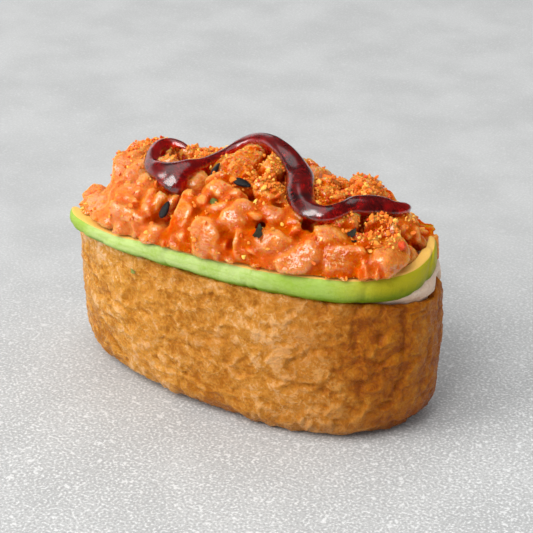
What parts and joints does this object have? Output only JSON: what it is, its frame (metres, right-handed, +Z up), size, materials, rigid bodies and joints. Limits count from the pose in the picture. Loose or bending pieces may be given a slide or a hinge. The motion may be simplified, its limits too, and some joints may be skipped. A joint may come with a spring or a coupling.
{
  "type": "inari sushi with diced salmon and avocado",
  "caption": "Oval fried-tofu pouch filled with rice, edged with avocado slices and heaped with spiced diced salmon under a zigzag of dark sauce.",
  "frame": {"origin": "middle of the whole piece's footprint, on the surface that the pouch stands on", "axes": "+X along the pouch's long axis, towards the end where the rice shows; +Y across, away from the side with the long avocado slice; +Z up"},
  "size_m": [0.0712, 0.0352, 0.0453],
  "materials": {
    "fried_tofu": "golden brown fried tofu skin, finely wrinkled and blistered, moist with a soft sheen",
    "sushi_rice": "cooked short-grain rice, cream white, translucent and sticky",
    "avocado": "ripe avocado flesh, green at the skin side and yellow on the cut face, soft sheen",
    "salmon": "wet diced raw salmon, translucent orange-pink, rolled in orange spice granules",
    "dark_sauce": "thick glossy dark red-brown soy glaze, translucent where thin",
    "spice": "fine orange, red and yellow spice granules",
    "sesame": "black sesame seed, finely pitted, satin",
    "herb": "dried green herb and dark seaweed flakes"
  },
  "bodies": {
    "root": {"tofu_pouch": "fried_tofu", "rice": "sushi_rice", "avocado_near": "avocado", "avocado_far": "avocado", "salmon_heap": "salmon", "sauce_ribbon": "dark_sauce"}
  },
  "joints": []
}
